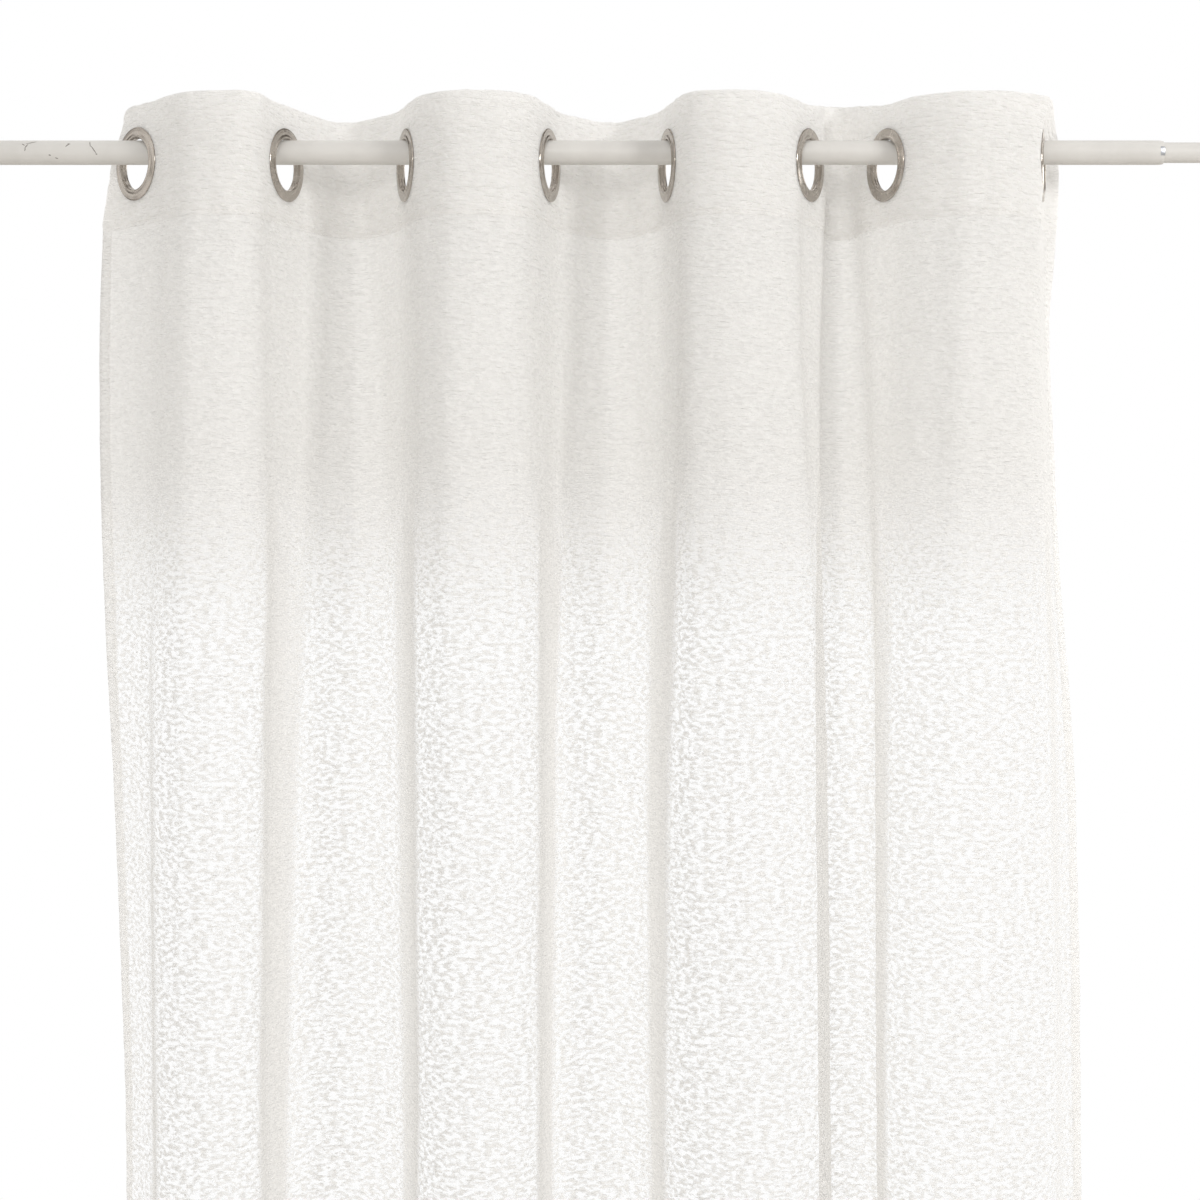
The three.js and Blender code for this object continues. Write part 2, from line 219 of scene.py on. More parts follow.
def fold_pieces(width, slope_a, slope_b, flat, pinch, lean):
    """A fold between two passes as (length, angle from, angle to), for the cut length."""

    def shape(extra):
        sides = []
        for slope, turn in ((slope_a, extra + lean), (slope_b, extra - lean)):
            curl = slope + turn
            way = 1 if turn >= 0 else -1
            sides.append(dict(
                slope=slope, curl=curl, bend=RETURN_RADIUS * abs(turn),
                x=flat * math.cos(slope) + way * RETURN_RADIUS * (math.sin(curl) - math.sin(slope)),
                y=flat * math.sin(slope) + way * RETURN_RADIUS * (math.cos(slope) - math.cos(curl)),
                across=pinch * math.cos(curl) + (1 - pinch) * math.sin(curl) / curl,
                deep=pinch * math.sin(curl) + (1 - pinch) * (1 - math.cos(curl)) / curl))
        a, b = sides
        rest = EYELET_PITCH - 2 * flat - a["bend"] - b["bend"]
        a["rest"] = (rest * b["deep"] + b["y"] - a["y"]) / (a["deep"] + b["deep"])
        b["rest"] = rest - a["rest"]
        return a, b, a["x"] + b["x"] + a["rest"] * a["across"] + b["rest"] * b["across"]

    low, high = -0.5, 1.2
    for _ in range(40):
        middle = (low + high) / 2
        if shape(middle)[2] > width:
            low = middle
        else:
            high = middle
    a, b, _ = shape((low + high) / 2)
    pieces = [
        (flat, a["slope"], a["slope"]), (a["bend"], a["slope"], a["curl"]),
        (pinch * a["rest"], a["curl"], a["curl"]), ((1 - pinch) * a["rest"], a["curl"], 0.0),
        ((1 - pinch) * b["rest"], 0.0, -b["curl"]), (pinch * b["rest"], -b["curl"], -b["curl"]),
        (b["bend"], -b["curl"], -b["slope"]), (flat, -b["slope"], -b["slope"])]
    return [piece for piece in pieces if piece[0] > 1e-9]


def plan_pieces(z):
    """The whole cloth's plan at a height, left edge to right edge, and where it starts."""
    flat = glide(LEVELS, "flat", z)
    passes = [pass_at(index, z) for index in range(len(PASSES))]
    left_end = math.radians(glide(LEVELS, "left_end", z))
    right_end = math.radians(glide(LEVELS, "right_end", z))
    above = float(ease((z - LEFT_TURN["above"]) / LEFT_TURN["over"]))
    left_flat = flat - LEFT_TURN["sooner"] * above
    pieces = [(SIDE_MARGIN - left_flat, -left_end, -passes[0][1]),
              (left_flat, -passes[0][1], -passes[0][1])]
    for n in range(len(passes) - 1):
        side = 1 if n % 2 else -1
        pinch = glide(LEVELS, "pinch", z) if n % 2 else 0.0
        lean = math.radians(FOLD_LEAN[n] * glide(LEVELS, "lean", z))
        fold = fold_pieces(passes[n + 1][0] - passes[n][0], passes[n][1], passes[n + 1][1],
                           flat, pinch, lean)
        pieces += [(run, side * start, side * end) for run, start, end in fold]
    last = passes[-1][1]
    pieces += [(flat, last, last), (SIDE_MARGIN - flat, last, right_end)]
    return pieces, passes


def run_along(start, turn, length):
    """Step in x and y along an arc that starts at an angle and turns evenly."""
    end = start + turn
    even = np.abs(turn) < 1e-6
    radius = length / np.where(even, 1.0, turn)
    dx = np.where(even, length * np.cos(start), radius * (np.sin(end) - np.sin(start)))
    dy = np.where(even, length * np.sin(start), radius * (np.cos(start) - np.cos(end)))
    return dx, dy


FINE_U = np.linspace(0, CLOTH_WIDTH, 701)


def soften(values, spacing):
    """Evens out a row of values as cloth evens out short bends, keeping its ends in line."""
    reach = int(math.ceil(3 * SOFTEN / spacing))
    weight = np.exp(-0.5 * (np.arange(-reach, reach + 1) * spacing / SOFTEN) ** 2)
    before = 2 * values[0] - values[reach:0:-1]
    after = 2 * values[-1] - values[-2:-reach - 2:-1]
    return np.convolve(np.concatenate([before, values, after]), weight / weight.sum(), "valid")


def plan_curve(z, u):
    """x, y and angle of the cloth at one height, at places u along the flat cloth."""
    pieces, passes = plan_pieces(z)
    length, start, end = (np.array(column) for column in zip(*pieces))
    dx, dy = run_along(start, end - start, length)
    at_s = np.concatenate([[0], np.cumsum(length)])
    at_x = np.concatenate([[0], np.cumsum(dx)])
    at_y = np.concatenate([[0], np.cumsum(dy)])
    k = np.clip(np.searchsorted(at_s, FINE_U, side="right") - 1, 0, len(length) - 1)
    share = (FINE_U - at_s[k]) / length[k]
    dx, dy = run_along(start[k], (end - start)[k] * share, length[k] * share)
    middle = int(np.argmin(np.abs(at_s - SIDE_MARGIN - 3 * EYELET_PITCH)))
    spacing = FINE_U[1] - FINE_U[0]
    x = soften(at_x[k] + dx - at_x[middle] + passes[3][0], spacing)
    y = soften(at_y[k] + dy - at_y[middle], spacing)
    angle = np.unwrap(np.arctan2(np.gradient(y), np.gradient(x)))
    return np.interp(u, FINE_U, x), np.interp(u, FINE_U, y), np.interp(u, FINE_U, angle)


def top_droop(u):
    """How far the top edge hangs down toward the two top corners."""
    total = 0
    left_run, right_run = SIDE_MARGIN - u, u - CLOTH_WIDTH + SIDE_MARGIN
    for corner, run in ((LEFT_DROOP, left_run), (RIGHT_DROOP, right_run)):
        share = np.clip((run - corner["start"]) / (SIDE_MARGIN - corner["start"]), 0, None)
        total = total + corner["most"] * share ** 1.3
    return total


NOISE_CELLS = (160, 700)
NOISE_START = 40.5


def soft_noise(u, z, wide, tall, seed):
    """Smooth noise from -1 to 1 with bumps about that wide and tall."""
    table = np.random.default_rng(seed).uniform(-1, 1, NOISE_CELLS)
    a, b = u / wide + NOISE_START, -z / tall + NOISE_START
    i, j = np.floor(a).astype(int), np.floor(b).astype(int)
    s, t = ease(a - i), ease(b - j)
    i, j = i % (NOISE_CELLS[0] - 1), j % (NOISE_CELLS[1] - 1)
    top = table[i, j] * (1 - s) + table[i + 1, j] * s
    low = table[i, j + 1] * (1 - s) + table[i + 1, j + 1] * s
    return top * (1 - t) + low * t


def creases(u, z):
    """Height of the listed troughs and ridges over the flat cloth."""
    total = np.zeros(np.shape(u))
    for row in CREASES:
        along = np.clip((row["z0"] - z) / (row["z0"] - row["z1"]), -0.4, 1.4)
        middle = row["u0"] + (row["u1"] - row["u0"]) * along
        across = np.exp(-(((u - middle) / row["width"]) ** 2))
        fade = np.clip(np.sin(np.pi * np.clip(along, 0, 1)), 0, 1) ** 0.6
        total += row["depth"] * across * fade
    return total


def eyelet_height(slope):
    """Height of an eyelet's centre when it hangs on the rod, turned by the slope of its pass."""
    z = np.linspace(-OUTER_TUBE_R, OUTER_TUBE_R, 121)
    rod_half = np.sqrt(np.maximum(OUTER_TUBE_R**2 - z**2, 0))
    chord = rod_half / math.sin(slope) + EYELET_HALF / math.tan(slope)
    inner = EYELET_INNER_R * math.cos(math.pi / CAD_EYELET_SIDES) - SEAT_CLEAR
    return float(np.max(z - np.sqrt(inner**2 - chord**2)))


def deselect():
    """Leaves edit mode with nothing selected."""
    if bpy.context.object and bpy.context.object.mode != "OBJECT":
        bpy.ops.object.mode_set(mode="OBJECT")
    bpy.ops.object.select_all(action="DESELECT")


def pick(obj):
    """Selects one object alone and makes it active."""
    deselect()
    obj.select_set(True)
    bpy.context.view_layer.objects.active = obj


def discard(obj):
    """Removes an object that was only a pattern, with its mesh."""
    mesh = obj.data
    bpy.data.objects.remove(obj)
    bpy.data.meshes.remove(mesh)


def named(name):
    """Names the object just added, and its mesh."""
    obj = bpy.context.object
    obj.name = obj.data.name = name
    return obj


def finish_piece(obj, slot, material, *nodes):
    """Gives a piece its material and its place in the frame."""
    obj.data.materials.clear()
    obj.data.materials.append(material)
    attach(obj, BODY)
    if nodes:
        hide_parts(*nodes)


def grid_sheet(name, columns, rows):
    """A flat grid of points, and their numbers by row and column, top row first."""
    deselect()
    bpy.ops.mesh.primitive_grid_add(x_subdivisions=columns - 1, y_subdivisions=rows - 1, size=2)
    obj = named(name)
    flat = np.empty(columns * rows * 3)
    obj.data.vertices.foreach_get("co", flat)
    flat = flat.reshape(-1, 3)
    order = np.lexsort((flat[:, 0].round(5), -flat[:, 1].round(5)))
    return obj, order.reshape(rows, columns)


def lay_points(obj, order, x, y, z):
    """Moves a sheet's grid to its real points, given in millimetres."""
    points = np.empty((order.size, 3))
    points[order.ravel()] = np.stack([x.ravel(), y.ravel(), z.ravel()], 1) * MM
    obj.data.vertices.foreach_set("co", points.ravel())
    obj.data.update()


def store(obj, order, name, *values):
    """Keeps one or three numbers per point on the mesh for the material."""
    kind, key = ("FLOAT", "value") if len(values) == 1 else ("FLOAT_VECTOR", "vector")
    layer = obj.data.attributes.new(name, kind, "POINT")
    data = np.empty((order.size, len(values)))
    data[order.ravel()] = np.stack([np.asarray(v, float).ravel() for v in values], 1)
    layer.data.foreach_set(key, data.ravel())


def smooth_faces(obj):
    """Shades a whole piece smooth."""
    pick(obj)
    bpy.ops.object.shade_smooth()


# materials

def new_material(name):
    """An empty material and its node tree."""
    material = bpy.data.materials.new(name)
    material.use_nodes = True
    tree = material.node_tree
    tree.nodes.clear()
    return material, tree


def node(tree, kind, **settings):
    """A node with some of its inputs or settings set."""
    made = tree.nodes.new(kind)
    for key, value in settings.items():
        if key in made.inputs:
            made.inputs[key].default_value = value
        else:
            setattr(made, key, value)
    return made


def link(tree, source, output, target, socket):
    """Joins one node's output to another's socket."""
    tree.links.new(source.outputs[output], target.inputs[socket])


def feed(tree, value, socket):
    """Sets a socket to a number or colour, or links it to a (node, output) pair."""
    if not isinstance(value, tuple):
        socket.default_value = value
    elif isinstance(value[0], bpy.types.Node):
        tree.links.new(value[0].outputs[value[1]], socket)
    else:
        socket.default_value = (*value, 1)


def show(tree, shader, output="BSDF"):
    """Puts a shader on the material's surface."""
    link(tree, shader, output, node(tree, "ShaderNodeOutputMaterial"), "Surface")


def scaled(tree, source, output, scale):
    """Coordinates stretched for a pattern."""
    mapping = node(tree, "ShaderNodeMapping")
    mapping.inputs["Scale"].default_value = scale
    link(tree, source, output, mapping, "Vector")
    return mapping


def noise(tree, place, detail, roughness, distortion=0.0):
    """Noise over the flat cloth."""
    made = node(tree, "ShaderNodeTexNoise", noise_dimensions="2D")
    for key, value in (("Scale", 1.0), ("Detail", detail), ("Roughness", roughness),
                       ("Distortion", distortion)):
        made.inputs[key].default_value = value
    link(tree, place, "Vector", made, "Vector")
    return made


def solid_noise(tree, place, scale, detail, roughness=0.5):
    """Noise through a piece's own space."""
    made = node(tree, "ShaderNodeTexNoise", Scale=scale, Detail=detail, Roughness=roughness)
    link(tree, place, "Object", made, "Vector")
    return made


def ramp(tree, source, output, low, high, to_min=0.0, to_max=1.0):
    """A soft change from one value to another as an output goes from low to high."""
    made = node(tree, "ShaderNodeMapRange", interpolation_type="SMOOTHSTEP")
    limits = {"From Min": low, "From Max": high, "To Min": to_min, "To Max": to_max}
    for key, value in limits.items():
        made.inputs[key].default_value = value
    link(tree, source, output, made, "Value")
    return made


def math_node(tree, operation, first, second):
    """A sum on numbers or (node, output) pairs."""
    made = node(tree, "ShaderNodeMath", operation=operation)
    for index, value in enumerate((first, second)):
        feed(tree, value, made.inputs[index])
    return made


MIX_FACTOR, MIX_FIRST, MIX_SECOND, MIXED = 0, 6, 7, 2   # sockets of a colour Mix node


def mix_colour(tree, factor, first, second):
    """Mixes two colours, each a plain one or a (node, output) pair."""
    made = node(tree, "ShaderNodeMix", data_type="RGBA")
    for index, value in ((MIX_FACTOR, factor), (MIX_FIRST, first), (MIX_SECOND, second)):
        feed(tree, value, made.inputs[index])
    return made


def crinkle_cloth(name, sheer):
    """Off-white crinkled voile: lumpy slub yarns in the bump, thin blots that show through."""
    material, tree = new_material(name)
    place = node(tree, "ShaderNodeAttribute", attribute_name="weave")
    cover = node(tree, "ShaderNodeAttribute", attribute_name="cover")
    layers = node(tree, "ShaderNodeAttribute", attribute_name="doubled")

    blots = noise(tree, scaled(tree, place, "Vector", (160, 330, 1)), 3.0, 0.55, 0.3)
    slubs = noise(tree, scaled(tree, place, "Vector", (84, 380, 1)), 3.0, 0.6)

    tone = math_node(tree, "ADD", (blots, "Fac"), (slubs, "Fac"))
    yarn = ramp(tree, tone, "Value", 0.72, 1.28)
    single = mix_colour(tree, (yarn, "Result"), (0.822, 0.812, 0.794), (0.872, 0.863, 0.847))
    double = mix_colour(tree, (yarn, "Result"), (0.935, 0.926, 0.91), (0.978, 0.971, 0.959))
    colour = mix_colour(tree, (layers, "Fac"), (single, MIXED), (double, MIXED))
    relief = math_node(tree, "MULTIPLY_ADD", (blots, "Fac"), 0.3)
    link(tree, slubs, "Fac", relief, 2)
    bump = node(tree, "ShaderNodeBump", Strength=1.0, Distance=0.0026)
    link(tree, relief, "Value", bump, "Height")

    body = node(tree, "ShaderNodeBsdfDiffuse")
    through = node(tree, "ShaderNodeBsdfTranslucent")
    for made in (body, through):
        link(tree, colour, MIXED, made, "Color")
        link(tree, bump, "Normal", made, "Normal")
    lit = node(tree, "ShaderNodeMixShader", Fac=0.4 if sheer else 0.46)
    link(tree, body, "BSDF", lit, 1)
    link(tree, through, "BSDF", lit, 2)

    if not sheer:
        show(tree, lit, "Shader")
        return material
    open_weave = ramp(tree, blots, "Fac", 0.38, 0.65, 0.95, 0.08)
    uncovered = math_node(tree, "SUBTRACT", 1.0, (cover, "Fac"))
    see = math_node(tree, "MULTIPLY", (open_weave, "Result"), (uncovered, "Value"))
    clear = node(tree, "ShaderNodeBsdfTransparent")
    whole = node(tree, "ShaderNodeMixShader")
    link(tree, see, "Value", whole, "Fac")
    link(tree, lit, "Shader", whole, 1)
    link(tree, clear, "BSDF", whole, 2)
    show(tree, whole, "Shader")
    return material


def thread_material():
    """Off-white sewing thread with a faint twist."""
    material, tree = new_material("stitching_thread")
    place = node(tree, "ShaderNodeTexCoord")
    twist = solid_noise(tree, place, 2600.0, 1.0)
    body = node(tree, "ShaderNodeBsdfPrincipled", Roughness=0.7)
    colour = mix_colour(tree, (twist, "Fac"), (0.88, 0.866, 0.838), (0.95, 0.936, 0.91))
    link(tree, colour, MIXED, body, "Base Color")
    show(tree, body)
    return material


def nickel_material():
    """Satin nickel with a soft grain and faint handling marks."""
    material, tree = new_material("satin_nickel")
    place = node(tree, "ShaderNodeTexCoord")
    grain = solid_noise(tree, place, 900.0, 3.0, 0.6)
    smears = solid_noise(tree, place, 110.0, 3.0, 0.55)
    colour = mix_colour(tree, (ramp(tree, smears, "Fac", 0.3, 0.7), "Result"),
                        (0.45, 0.412, 0.372), (0.535, 0.497, 0.455))
    satin = ramp(tree, smears, "Fac", 0.3, 0.75, 0.20, 0.32)
    polish = node(tree, "ShaderNodeAttribute", attribute_name="polish")
    gloss = math_node(tree, "MULTIPLY_ADD", (polish, "Fac"), -0.17)
    link(tree, satin, "Result", gloss, 2)
    bump = node(tree, "ShaderNodeBump", Strength=0.12, Distance=0.0002)
    link(tree, grain, "Fac", bump, "Height")
    body = node(tree, "ShaderNodeBsdfPrincipled", Metallic=1.0)
    link(tree, colour, MIXED, body, "Base Color")
    link(tree, gloss, "Value", body, "Roughness")
    link(tree, bump, "Normal", body, "Normal")
    show(tree, body)
    return material


# scuffs on the rod's front: place along it and up it, half length, half width, lean
SCUFFS = (
    dict(x=-446.2, z=6.6, long=4.6, wide=0.34, lean=-0.22),
    dict(x=-449.6, z=3.6, long=2.6, wide=0.42, lean=-0.95),
    dict(x=-452.0, z=4.9, long=1.6, wide=0.34, lean=0.5),
    dict(x=-450.4, z=1.0, long=1.3, wide=0.36, lean=-1.3),
    dict(x=-431.2, z=-3.4, long=1.1, wide=0.4, lean=0.2),
    dict(x=-426.0, z=-5.6, long=1.3, wide=0.32, lean=0.3),
    dict(x=-417.6, z=4.4, long=1.9, wide=0.42, lean=-0.7),
    dict(x=-416.4, z=5.6, long=1.2, wide=0.36, lean=0.1),
    dict(x=-399.8, z=5.2, long=2.7, wide=0.36, lean=1.35),
    dict(x=-396.6, z=0.6, long=4.2, wide=0.4, lean=0.95),
    dict(x=-394.6, z=-2.6, long=0.9, wide=0.5, lean=0.4),
    dict(x=-520, z=2.0, long=2.0, wide=0.35, lean=0.3),
)


def rod_paint_material(name, scuffs, nick_x=None):
    """Satin white paint with a faint ripple, dull chips, and bare metal at the tube's mouth."""
    material, tree = new_material(name)
    place = node(tree, "ShaderNodeTexCoord")
    ripple = solid_noise(tree, place, 420.0, 2.0)
    dust = solid_noise(tree, place, 38.0, 4.0, 0.6)
    rough_edge = solid_noise(tree, place, 700.0, 3.0)
    split = node(tree, "ShaderNodeSeparateXYZ")
    link(tree, place, "Object", split, "Vector")
    front = math_node(tree, "LESS_THAN", (split, "Y"), -0.002)
    marks = None
    for row in scuffs:
        mapping = node(tree, "ShaderNodeMapping", vector_type="TEXTURE")
        mapping.inputs["Location"].default_value = (row["x"] * MM, 0, row["z"] * MM)
        mapping.inputs["Rotation"].default_value = (0, row["lean"], 0)
        mapping.inputs["Scale"].default_value = (row["long"] * MM, 1000, row["wide"] * MM)
        link(tree, place, "Object", mapping, "Vector")
        reach = node(tree, "ShaderNodeVectorMath", operation="LENGTH")
        link(tree, mapping, "Vector", reach, "Vector")
        ragged = math_node(tree, "ADD", (reach, "Value"), (rough_edge, "Fac"))
        mark = ramp(tree, ragged, "Value", 1.2, 1.6, 1.0, 0.0)
        marks = mark if marks is None else math_node(tree, "MAXIMUM", (marks, 0), (mark, 0))
    colour = mix_colour(tree, (ramp(tree, dust, "Fac", 0.35, 0.75), "Result"),
                        (0.655, 0.638, 0.607), (0.612, 0.594, 0.564))
    body = node(tree, "ShaderNodeBsdfPrincipled")
    if marks is not None:
        shown = math_node(tree, "MULTIPLY", (marks, 0), (front, "Value"))
        colour = mix_colour(tree, (shown, "Value"), (colour, MIXED), (0.16, 0.145, 0.125))
    if nick_x is not None:
        along = math_node(tree, "GREATER_THAN", (split, "X"), nick_x * MM)
        away = math_node(tree, "ABSOLUTE", (split, "Z"), 0.0)
        tall = math_node(tree, "LESS_THAN", (away, "Value"), 0.0036)
        bare = math_node(tree, "MULTIPLY", (along, "Value"), (tall, "Value"))
        bare = math_node(tree, "MULTIPLY", (bare, "Value"), (front, "Value"))
        colour = mix_colour(tree, (bare, "Value"), (colour, MIXED), (0.50, 0.52, 0.55))
        link(tree, bare, "Value", body, "Metallic")
    link(tree, colour, MIXED, body, "Base Color")
    gloss = ramp(tree, dust, "Fac", 0.3, 0.7, 0.36, 0.48)
    link(tree, gloss, "Result", body, "Roughness")
    bump = node(tree, "ShaderNodeBump", Strength=0.08, Distance=0.0003)
    link(tree, ripple, "Fac", bump, "Height")
    link(tree, bump, "Normal", body, "Normal")
    show(tree, body)
    return material


def floor_material():
    """Plain pale floor with a faint unevenness."""
    material, tree = new_material("studio_floor")
    place = node(tree, "ShaderNodeTexCoord")
    speckle = solid_noise(tree, place, 3.0, 3.0)
    colour = mix_colour(tree, (speckle, "Fac"), (0.63, 0.605, 0.57), (0.66, 0.635, 0.60))
    body = node(tree, "ShaderNodeBsdfPrincipled", Roughness=0.8)
    link(tree, colour, MIXED, body, "Base Color")
    show(tree, body)
    return material


# cloth pieces

def panel_rows():
    """Heights of the panel's rows, closer together up where the folds are tightest."""
    heights, z, step = [], SEAM_Z - SEAM_GAP, ROWS["step"]
    while z > BOTTOM_Z + 1:
        heights.append(z)
        if z < ROWS["wider_below"]:
            step = min(step * ROWS["growth"], ROWS["most"])
        z -= step
    return np.array(heights + [BOTTOM_Z])


def cloth_points(u, heights, lift):
    """Points of the cloth on its folds, lifted off the fold surface toward its front."""
    x, y, angle = (np.empty((len(heights), len(u))) for _ in range(3))
    for j, z in enumerate(heights):
        x[j], y[j], angle[j] = plan_curve(z, u)
    return x + lift * np.sin(angle), y - lift * np.cos(angle), angle


def hem_lies_behind(count):
    """How far behind the cloth each line of a hem lies, from its turn inward."""
    return np.array([HEM_BACK_AT_TURN] + [HEM_BACK] * (count - 1))


def make_panel(material):
    """The panel, with its side hems and its bottom hem turned in behind it."""
    body_u = np.linspace(0, CLOTH_WIDTH, PANEL_COLUMNS)
    turn = np.array([0.0, 2.2, 5.0, 8.0, SIDE_HEM])
    u = np.concatenate([turn[::-1], body_u, CLOTH_WIDTH - turn])
    side_hem = hem_lies_behind(len(turn))
    behind = np.concatenate([side_hem[::-1], np.zeros(len(body_u)), side_hem])
    cut_u = np.concatenate([-turn[::-1] - HEM_TURN, body_u, CLOTH_WIDTH + turn + HEM_TURN])

    main = panel_rows()
    fold_up = np.linspace(BOTTOM_Z, BOTTOM_Z + BOTTOM_HEM, HEM_ROWS)
    heights = np.concatenate([main, fold_up])
    row_behind = np.concatenate([np.zeros(len(main)), hem_lies_behind(HEM_ROWS)])
    cut_z = np.concatenate([main, 2 * BOTTOM_Z - fold_up - HEM_TURN])

    uu, zz = np.meshgrid(u, heights)
    grow = np.clip((SEAM_Z - 6 - zz) / 120, 0, 1)
    low = np.clip((-60 - zz) / 500, 0, 1)
    lift = creases(uu, zz)
    for row in PANEL_BUMPS:
        bumps = soft_noise(uu, zz, row["wide"], row["tall"], row["seed"])
        lift += grow * (row["height"] + row["more_low"] * low) * bumps
    lift -= behind[None, :] + row_behind[:, None]
    x, y, angle = cloth_points(u, heights, lift)
    sag = HEM_SAG * soft_noise(uu, np.zeros_like(zz), 130, 100, 14)
    z = zz + sag * np.clip((-1800 - zz) / 500, 0, 1)

    panel, order = grid_sheet("panel_cloth", len(u), len(heights))
    lay_points(panel, order, x, y, z)
    cu, cz = np.meshgrid(cut_u, cut_z)
    store(panel, order, "weave", cu * MM, cz * MM, np.zeros_like(cu))
    dense_top = ease((zz - DENSE_TOP["below"]) / DENSE_TOP["over"])
    flank = ease((np.abs(np.degrees(angle)) - FLANK["slope"]) / FLANK["over"])
    in_hem = (np.minimum(uu, CLOTH_WIDTH - uu) < SIDE_HEM) | (zz < BOTTOM_Z + BOTTOM_HEM)
    cover = np.maximum.reduce(
        [DENSE_TOP["cover"] * dense_top, FLANK["cover"] * flank, HEM_COVER * in_hem])
    store(panel, order, "cover", cover)
    store(panel, order, "doubled", in_hem)
    smooth_faces(panel)
    finish_piece(panel, "sheer_cloth", material, "panel")
    return panel


def heading_outline():
    """The heading's cross-section, front lower edge over the top to the back: height, lift."""
    half = HEADING_THICK / 2
    front = [(z, half) for z in np.linspace(SEAM_Z + 6, TOP_Z - 1.2, HEADING_ROWS)]
    lower = [(SEAM_Z, 0.05), (SEAM_Z + 1.5, 0.25), (SEAM_Z + 3.0, 0.5), (SEAM_Z + 4.5, 0.78)]
    top = [(TOP_Z - 0.4, half * 0.75), (TOP_Z, 0.0), (TOP_Z - 0.4, -half * 0.75)]
    back = [(z, -lift) for z, lift in reversed(lower + front)]
    return lower + front + top + back


def eyelet_places():
    """Place along the cloth, x, plan angle and height of each eyelet."""
    places = []
    for index, row in enumerate(PASSES):
        slope = math.radians(row["rod_slope"])
        places.append(dict(u=SIDE_MARGIN + index * EYELET_PITCH, x=float(row["rod_x"]),
                           angle=slope if index % 2 else -slope, z=eyelet_height(slope)))
    return places


def make_heading(material):
    """The doubled band with its stitched lower edge and a hole round each eyelet."""
    outline = heading_outline()
    heights = np.array([z for z, _ in outline])
    lift_row = np.array([lift for _, lift in outline])
    u = np.linspace(0, CLOTH_WIDTH, HEADING_COLUMNS)
    uu, zz = np.meshgrid(u, heights)
    inside = np.zeros(uu.shape, bool)
    near = np.zeros(uu.shape)
    places = eyelet_places()
    for place in places:
        du, dz = uu - place["u"], zz - place["z"]
        reach = np.hypot(du, dz)
        hole = reach < HOLE_R
        inside |= reach < HOLE_R - 0.01
        push = np.where(hole, HOLE_R / np.maximum(reach, 1e-6), 1.0)
        uu = np.where(hole, place["u"] + du * push, uu)
        zz = np.where(hole, place["z"] + dz * push, zz)
        calm = np.clip((CALM_RING["reach"] - reach) / CALM_RING["over"], 0, 1)
        near = np.maximum(near, calm)
    side = np.sign(lift_row)[:, None]
    upper = np.clip((zz - DROOP_FROM_Z) / (TOP_Z - DROOP_FROM_Z), 0, 1)
    droop = top_droop(uu) * upper**1.5
    edge_wave = EDGE_WAVE["most"] * soft_noise(uu, np.zeros_like(zz), 8, 10, 23)
    edge_wave = edge_wave * np.clip((zz - EDGE_WAVE["above"]) / EDGE_WAVE["over"], 0, 1)
    free = (1 - near) * np.clip((TOP_Z - zz) / 8, 0.25, 1)
    lift = np.repeat(lift_row[:, None], len(u), 1)
    ripple = sum(row["height"] * soft_noise(uu, zz, row["wide"], row["tall"], row["seed"])
                 for row in HEADING_RIPPLES)
    lift = lift + free * ripple
    stitch_dip = np.exp(-(((zz - SEAM_Z - STITCH_UP) / STITCH_DIP["half"]) ** 2))
    lift = lift - side * STITCH_DIP["deep"] * stitch_dip * (1 - near)
    lift = lift + creases(uu, zz) * (1 - near)
    x, y = np.empty(uu.shape), np.empty(uu.shape)
    for j in range(len(heights)):
        moved = plan_curve(heights[j], uu[j])
        x[j] = moved[0] + lift[j] * np.sin(moved[2])
        y[j] = moved[1] - lift[j] * np.cos(moved[2])

    # at the top edge the narrow back fold stands a little higher, and the right end leans out
    narrow = (uu > places[NARROW_FOLD]["u"]) & (uu < places[NARROW_FOLD + 1]["u"])
    zz = zz + NARROW_RISE * np.where(narrow, np.maximum(y, 0), 0) * ease(zz / TOP_Z)
    lean_up = ease((zz - RIGHT_LEAN["above"]) / RIGHT_LEAN["over"])
    x = x + RIGHT_LEAN["most"] * lean_up * ease((uu - RIGHT_LEAN["from_u"]) / RIGHT_LEAN["over_u"])

    heading, order = grid_sheet("heading_cloth", len(u), len(heights))
    lay_points(heading, order, x, y, zz - droop + edge_wave - EDGE_WAVE["most"])
    cut = np.concatenate([[0], np.cumsum(np.hypot(np.diff(heights), np.diff(lift_row)))])
    cut = SEAM_Z + cut
    cu, cz = np.meshgrid(u, cut)
    store(heading, order, "weave", cu * MM, cz * MM, np.zeros_like(cu))
    store(heading, order, "cover", np.ones_like(cu))
    store(heading, order, "doubled", np.ones_like(cu))

    gone = set(order[inside].tolist())
    bpy.context.view_layer.objects.active = heading
    bpy.ops.object.mode_set(mode="EDIT")
    bpy.ops.mesh.select_all(action="DESELECT")
    bpy.ops.object.mode_set(mode="OBJECT")
    flags = np.zeros(len(heading.data.polygons), bool)
    for face in heading.data.polygons:
        flags[face.index] = all(v in gone for v in face.vertices)
    heading.data.polygons.foreach_set("select", flags)
    bpy.ops.object.mode_set(mode="EDIT")
    bpy.ops.mesh.select_mode(type="FACE")
    bpy.ops.mesh.delete(type="FACE")
    bpy.ops.object.mode_set(mode="OBJECT")
    smooth_faces(heading)
    finish_piece(heading, "heading_cloth", material, "heading")
    return heading


def stitch_shape():
    """One stitch lying along X: a thin six-sided spindle, as points and faces."""
    deselect()
    bpy.ops.mesh.primitive_uv_sphere_add(segments=6, ring_count=4, radius=1)
    ball = bpy.context.object
    points = np.array([v.co[:] for v in ball.data.vertices])[:, [2, 0, 1]]
    faces = [list(face.vertices) for face in ball.data.polygons]
    discard(ball)
    return points, faces


